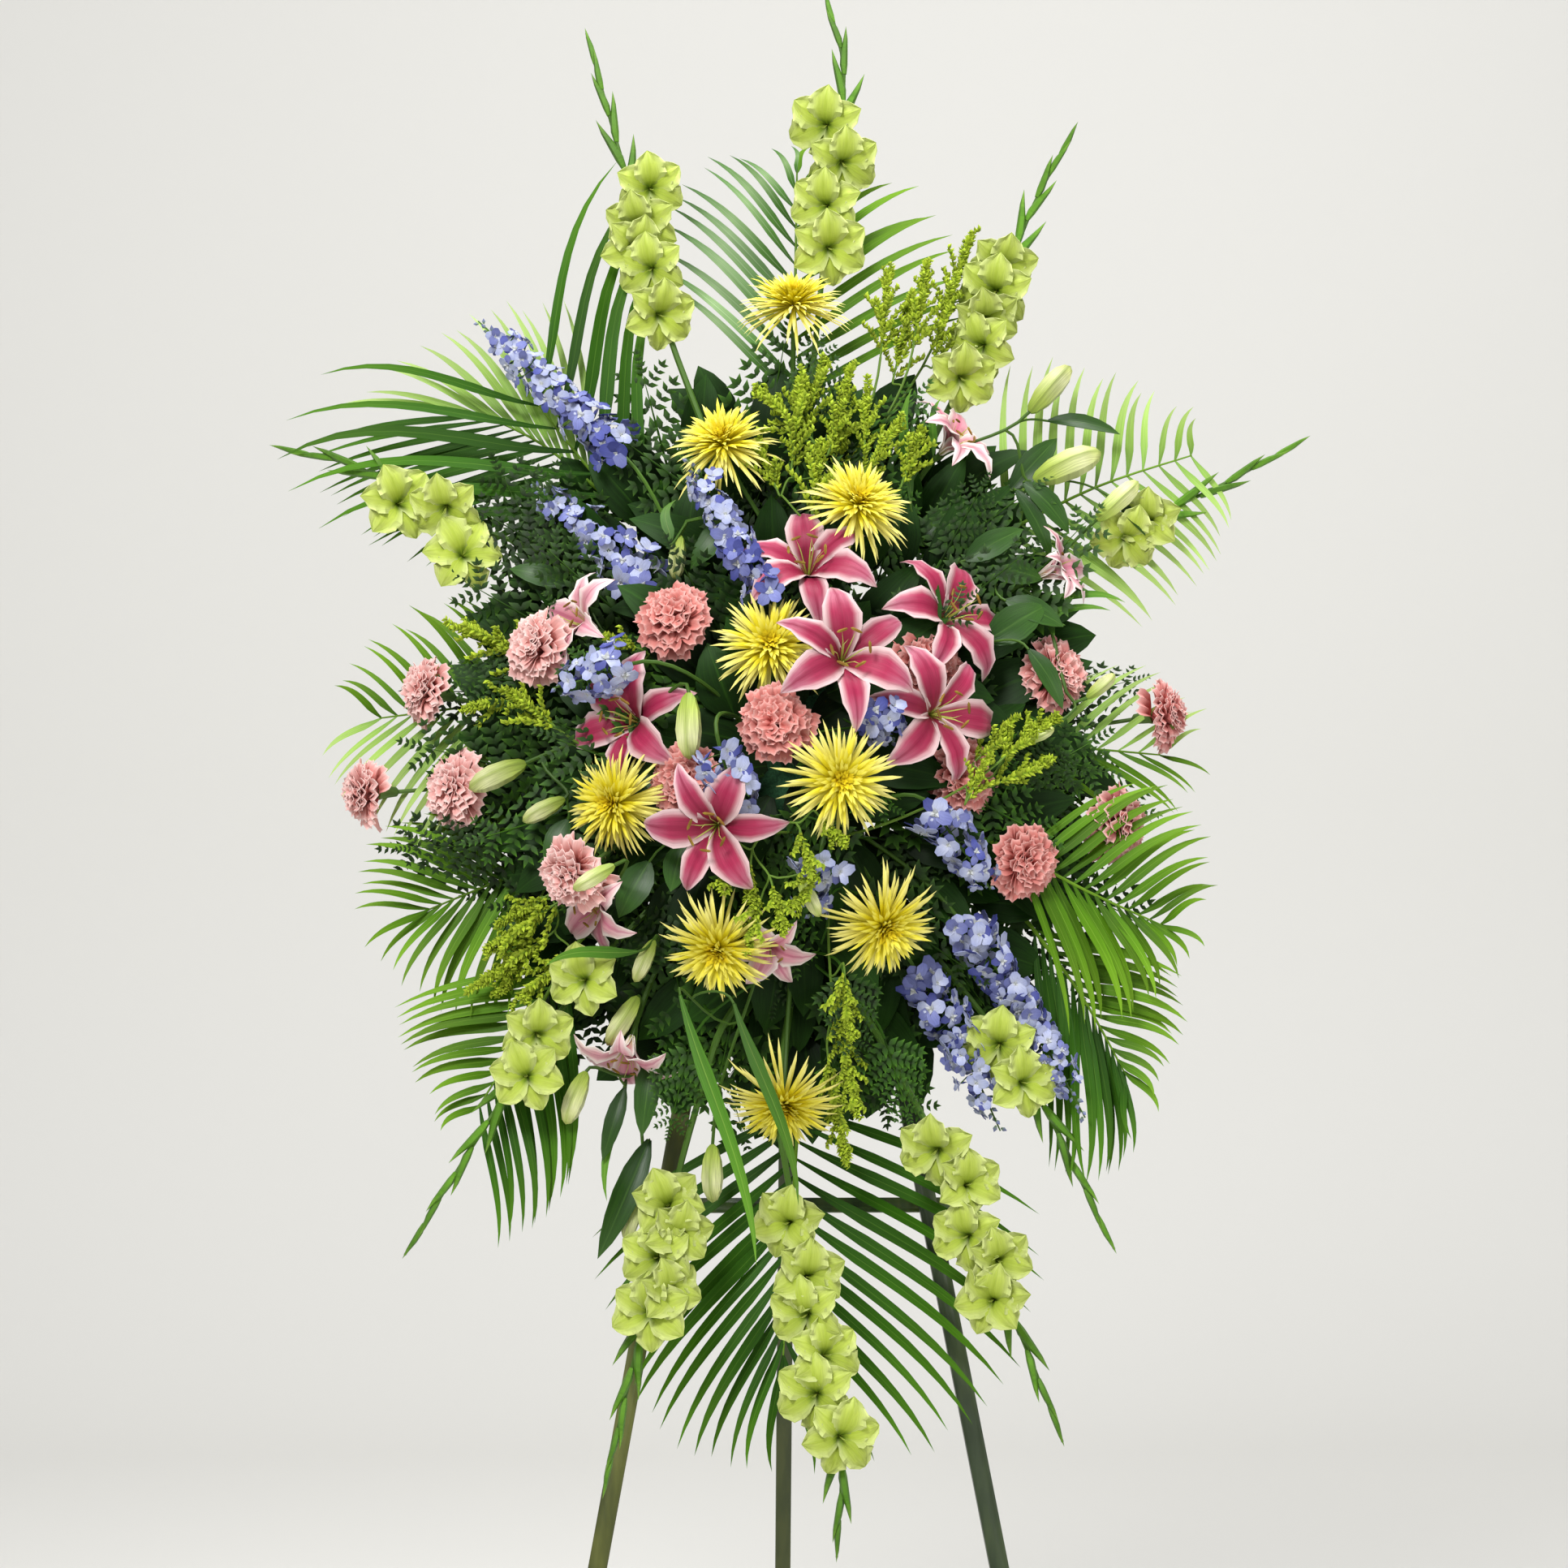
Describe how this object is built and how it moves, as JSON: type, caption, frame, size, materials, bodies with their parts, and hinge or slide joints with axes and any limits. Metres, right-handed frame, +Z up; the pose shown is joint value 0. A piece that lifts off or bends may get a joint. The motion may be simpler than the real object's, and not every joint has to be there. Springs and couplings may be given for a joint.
{
  "type": "standing funeral spray",
  "caption": "Large fan-shaped spray of cut flowers and palm fronds, set in foam on the front legs of a folding wooden easel whose rear leg swings on a hinge.",
  "frame": {"origin": "on the floor under the middle of the whole object's box, between the front feet and the rear foot", "axes": "+Z up, -Y out of the front of the spray, +X to the right of someone facing the spray; the easel's hinge pin runs along X"},
  "size_m": [1.1698, 0.7932, 2.1369],
  "materials": {
    "easel_wood": "satin olive-green stain on planed laths, darker on the narrow faces, worn lighter along the edges",
    "hinge_steel": "plain zinc-plated strap hinge with a dull sheen",
    "bolt_steel": "dull plated bolt with a mottled, slightly rusted head",
    "tray_plastic": "moulded dark green plastic tray with a fine matt grain",
    "foam": "fine-celled dark green wet floral foam, matt and crumbly",
    "binding_tape": "waterproof green florist's tape with a low sheen",
    "palm": "glossy mid-green palm leaflets with a paler rib, thin reddish rims and darker shaded leaflets",
    "gladiolus": "ruffled yellow-green petals with a soft satin bloom, olive throats and bright green bud sheaths",
    "mum": "lemon-yellow quilled petals round a golden centre",
    "lily": "raspberry-pink petals with a deeper midrib and dots and near-white waved edges",
    "carnation": "frilled coral petals that pale to light pink at the toothed edges",
    "delphinium": "periwinkle-blue florets with paler lavender hearts",
    "solidago": "fine yellow-green flower dust on slim arching sprays",
    "fern": "deep green leathery leaflets, glossy on their upper side"
  },
  "bodies": {
    "front": {"band_lower": "binding_tape", "band_upper": "binding_tape", "bolt_left": "bolt_steel", "bolt_right": "bolt_steel", "carnations_inner_left": "carnation", "carnations_inner_right": "carnation", "carnations_left": "carnation", "carnations_right": "carnation", "crossbar": "easel_wood", "delphinium_left": "delphinium", "delphinium_right": "delphinium", "delphinium_upper": "delphinium", "delphinium_upper_left": "delphinium", "ferns_left": "fern", "ferns_low": "fern", "ferns_right": "fern", "foam_block": "foam", "foam_tray": "tray_plastic", "frond_bottom": "palm", "frond_left": "palm", "frond_left_high": "palm", "frond_low_left": "palm", "frond_low_left_upper": "palm", "frond_low_right": "palm", "frond_low_right_upper": "palm", "frond_right": "palm", "frond_right_high": "palm", "frond_top": "palm", "frond_top_left": "palm", "gladiolus_bottom": "gladiolus", "gladiolus_bottom_left": "gladiolus", "gladiolus_bottom_right": "gladiolus", "gladiolus_left": "gladiolus", "gladiolus_low_left": "gladiolus", "gladiolus_low_right": "gladiolus", "gladiolus_right": "gladiolus", "gladiolus_top": "gladiolus", "gladiolus_top_left": "gladiolus", "gladiolus_top_right": "gladiolus", "hinge_leaf_front": "hinge_steel", "hinge_pin": "hinge_steel", "leg_left": "easel_wood", "leg_right": "easel_wood", "lily_centre": "lily", "lily_left": "lily", "lily_low_left": "lily", "lily_lower": "lily", "lily_right": "lily", "lily_top": "lily", "mum_top": "mum", "mums_lower": "mum", "mums_middle": "mum", "mums_upper": "mum", "solidago_left": "solidago", "solidago_low": "solidago", "solidago_top": "solidago"},
    "rear_leg": {"leg_rear": "easel_wood", "hinge_leaf_rear": "hinge_steel"}
  },
  "joints": [
    {"name": "rear_leg_fold", "type": "hinge", "parent": "front", "child": "rear_leg", "pos_m": [-0.00021, -0.02084, 1.43439], "axis": [1, 0, 0], "range_deg": [-26, 0]}
  ]
}
